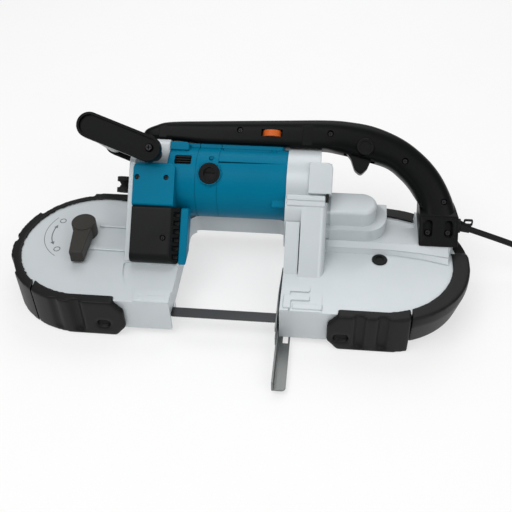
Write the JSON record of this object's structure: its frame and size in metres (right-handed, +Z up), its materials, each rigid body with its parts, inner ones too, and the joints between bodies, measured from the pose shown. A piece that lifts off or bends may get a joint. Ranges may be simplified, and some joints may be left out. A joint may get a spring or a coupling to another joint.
{
  "type": "portable band saw",
  "caption": "Corded portable band saw lying flat: silver C-shaped frame with enclosed wheels, twisted blade across the throat, tilted teal motor, black handles, rubber bumpers.",
  "frame": {"origin": "centre of the plan view, cord left out, at the underside of the bumpers", "axes": "+X along the saw towards the cord end, +Z up, away from the floor; the throat opens towards -Y"},
  "size_m": [0.7885, 0.3144, 0.1793],
  "materials": {
    "silver_paint": "satin silver-grey enamel",
    "teal_plastic": "moulded teal, slightly glossy",
    "black_plastic": "fine-grained black moulding",
    "black_rubber": "matt black rubber",
    "grey_plastic": "light grey grip sleeve",
    "orange_plastic": "orange moulding",
    "bright_steel": "bright zinc or ground steel",
    "cast_aluminium": "machined casting",
    "carbon": "dense carbon",
    "brass": "bright brass"
  },
  "bodies": {
    "frame": {"main_frame": "silver_paint", "front_bracket": "silver_paint", "gear_housing": "silver_paint", "gear_case": "silver_paint", "motor_housing": "teal_plastic", "front_box": "teal_plastic", "front_rib": "teal_plastic", "handle_near": "black_plastic", "handle_far": "black_plastic", "switch_body": "black_plastic", "boot": "black_plastic", "front_handle": "black_plastic", "vent_cover": "black_plastic", "brush_caps": "black_plastic", "plug": "black_plastic", "front_bumper": "black_rubber", "front_corner_bumper": "black_rubber", "rear_bumper": "black_rubber", "rear_corner_bumper": "black_rubber", "axle_plug": "black_rubber", "rubber_stud": "black_rubber", "cord_guard": "black_rubber", "cord_lead": "black_rubber", "cord_coil": "black_rubber", "cord_tail": "black_rubber", "front_grip": "grey_plastic", "saw_blade": "bright_steel", "stop_bolts": "bright_steel", "front_guide_holder": "bright_steel", "rear_guide_holder": "bright_steel", "drive_bearings": "bright_steel", "rear_axle": "bright_steel", "slide_rails": "bright_steel", "stator": "bright_steel", "brushes": "carbon", "plug_pins": "brass"},
    "armature": {"armature": "bright_steel", "fan": "black_plastic"},
    "countershaft": {"countershaft": "bright_steel"},
    "lay_shaft": {"lay_shaft": "bright_steel"},
    "rear_wheel": {"rear_wheel": "cast_aluminium", "rear_tyre": "black_rubber", "rear_bearings": "bright_steel", "drive_gear": "bright_steel"},
    "tension_slide": {"tension_slide": "bright_steel", "front_axle": "bright_steel"},
    "front_wheel": {"front_wheel": "cast_aluminium", "front_tyre": "black_rubber", "front_bearings": "bright_steel"},
    "tension_lever": {"tension_lever": "black_plastic"},
    "trigger": {"trigger": "black_plastic"},
    "lock_button": {"lock_button": "black_plastic"},
    "speed_dial": {"speed_dial": "orange_plastic"},
    "stop_plate": {"stop_plate": "bright_steel"},
    "front_upper_roller": {"front_upper_roller": "bright_steel"},
    "front_lower_roller": {"front_lower_roller": "bright_steel"},
    "front_back_roller": {"front_back_roller": "bright_steel"},
    "rear_upper_roller": {"rear_upper_roller": "bright_steel"},
    "rear_lower_roller": {"rear_lower_roller": "bright_steel"},
    "rear_back_roller": {"rear_back_roller": "bright_steel"}
  },
  "joints": [
    {"name": "armature_spin", "type": "hinge", "parent": "frame", "child": "armature", "pos_m": [0, 0.06855, 0.0907], "axis": [1, 0, 0], "continuous": true},
    {"name": "countershaft_spin", "type": "hinge", "parent": "frame", "child": "countershaft", "pos_m": [0.08, 0.03975, 0.0787], "axis": [1, 0, 0], "continuous": true},
    {"name": "lay_shaft_spin", "type": "hinge", "parent": "frame", "child": "lay_shaft", "pos_m": [0.13784, 0.03975, 0.05], "axis": [0, 0, 1], "continuous": true},
    {"name": "rear_wheel_spin", "type": "hinge", "parent": "frame", "child": "rear_wheel", "pos_m": [0.158, -0.00215, 0.025], "axis": [0, 0, 1], "continuous": true},
    {"name": "tension_slide_move", "type": "slide", "parent": "frame", "child": "tension_slide", "axis": [1, 0, 0], "range_m": [0, 0.006]},
    {"name": "front_wheel_spin", "type": "hinge", "parent": "tension_slide", "child": "front_wheel", "pos_m": [-0.164, -0.00215, 0.025], "axis": [0, 0, 1], "continuous": true},
    {"name": "tension_lever_turn", "type": "hinge", "parent": "frame", "child": "tension_lever", "pos_m": [-0.179, 0.01585, 0.055], "axis": [0, 0, 1], "range_deg": [-90.5, 0]},
    {"name": "trigger_squeeze", "type": "slide", "parent": "frame", "child": "trigger", "axis": [0, 0.7071, 0.7071], "range_m": [0, 0.006], "stiffness_N_per_m": 600, "springref_m": -0.005},
    {"name": "lock_button_press", "type": "slide", "parent": "frame", "child": "lock_button", "axis": [0, 0.7071, -0.7071], "range_m": [0, 0.003], "stiffness_N_per_m": 600, "springref_m": -0.003},
    {"name": "speed_dial_turn", "type": "hinge", "parent": "frame", "child": "speed_dial", "pos_m": [0.0315, 0.10143, 0.13701], "axis": [0, 0.7071, 0.7071], "range_deg": [-150, 150]},
    {"name": "stop_plate_slide", "type": "slide", "parent": "frame", "child": "stop_plate", "axis": [0, 1, 0], "range_m": [0, 0.04]},
    {"name": "front_upper_roller_spin", "type": "hinge", "parent": "frame", "child": "front_upper_roller", "pos_m": [-0.078, -0.07565, 0.03205], "axis": [0, 1, 0], "continuous": true},
    {"name": "front_lower_roller_spin", "type": "hinge", "parent": "frame", "child": "front_lower_roller", "pos_m": [-0.078, -0.07565, 0.01795], "axis": [0, 1, 0], "continuous": true},
    {"name": "front_back_roller_spin", "type": "hinge", "parent": "frame", "child": "front_back_roller", "pos_m": [-0.089, -0.06235, 0.025], "axis": [0, 0, 1], "continuous": true},
    {"name": "rear_upper_roller_spin", "type": "hinge", "parent": "frame", "child": "rear_upper_roller", "pos_m": [0.07, -0.07565, 0.03205], "axis": [0, 1, 0], "continuous": true},
    {"name": "rear_lower_roller_spin", "type": "hinge", "parent": "frame", "child": "rear_lower_roller", "pos_m": [0.07, -0.07565, 0.01795], "axis": [0, 1, 0], "continuous": true},
    {"name": "rear_back_roller_spin", "type": "hinge", "parent": "frame", "child": "rear_back_roller", "pos_m": [0.081, -0.06235, 0.025], "axis": [0, 0, 1], "continuous": true}
  ],
  "couplings": [
    {"joint": "countershaft_spin", "follows": "armature_spin", "ratio": -0.2093},
    {"joint": "lay_shaft_spin", "follows": "armature_spin", "ratio": 0.069767},
    {"joint": "rear_wheel_spin", "follows": "armature_spin", "ratio": -0.020349},
    {"joint": "front_wheel_spin", "follows": "armature_spin", "ratio": -0.020349},
    {"joint": "tension_lever_turn", "follows": "tension_slide_move", "rad_per_m": -261.8},
    {"joint": "front_upper_roller_spin", "follows": "armature_spin", "ratio": 0.24591},
    {"joint": "front_lower_roller_spin", "follows": "armature_spin", "ratio": -0.24591},
    {"joint": "front_back_roller_spin", "follows": "armature_spin", "ratio": -0.24591},
    {"joint": "rear_upper_roller_spin", "follows": "armature_spin", "ratio": 0.24591},
    {"joint": "rear_lower_roller_spin", "follows": "armature_spin", "ratio": -0.24591},
    {"joint": "rear_back_roller_spin", "follows": "armature_spin", "ratio": -0.24591}
  ]
}
